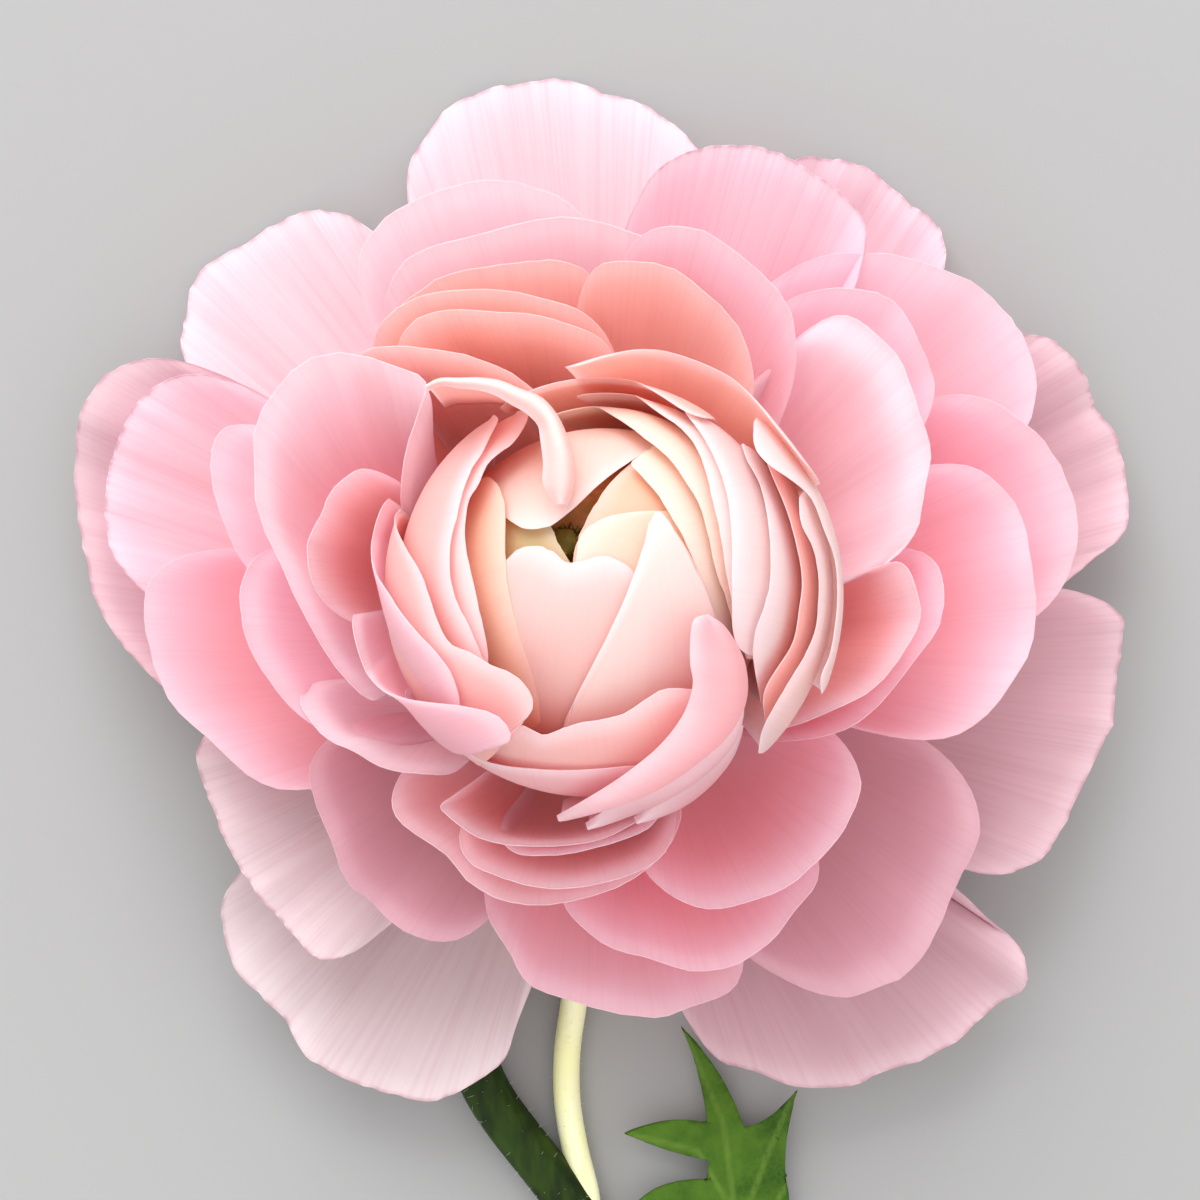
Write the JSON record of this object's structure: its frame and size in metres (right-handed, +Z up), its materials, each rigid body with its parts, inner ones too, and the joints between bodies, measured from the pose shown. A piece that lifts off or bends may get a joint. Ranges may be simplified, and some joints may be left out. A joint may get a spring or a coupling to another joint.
{
  "type": "ranunculus flower",
  "caption": "Cut ranunculus flower in full bloom, lying on its back: nested pink petals round a closed cream heart, on a curved green stem with a side shoot and a cut leaf.",
  "frame": {"origin": "on the surface that the flower lies on, below the middle of its bounding box", "axes": "+Z up out of the surface, and -Y along the stem away from the bloom"},
  "size_m": [0.1012, 0.1924, 0.0588],
  "materials": {
    "heart_petals": "soft satin petal, cream with peach depths",
    "bud_petals": "soft satin petal, peach pink with pale rims",
    "cup_petals": "soft satin petal, coral pink with lilac rims",
    "guard_petals": "thin satin petal, white to grey pink, finely streaked",
    "carpels": "matte olive green",
    "calyx": "matte pale green with fine hairs",
    "stem": "dark green with a waxy sheen",
    "side_shoot": "pale yellow green with a waxy sheen",
    "leaf": "mid green with pale veins, satin"
  },
  "bodies": {
    "root": {"heart_petals": "heart_petals", "bud_petals": "bud_petals", "cup_petals": "cup_petals", "guard_petals": "guard_petals", "carpels": "carpels", "calyx": "calyx", "stem": "stem", "side_shoot": "side_shoot", "side_bud": "calyx", "leaf": "leaf"}
  },
  "joints": []
}
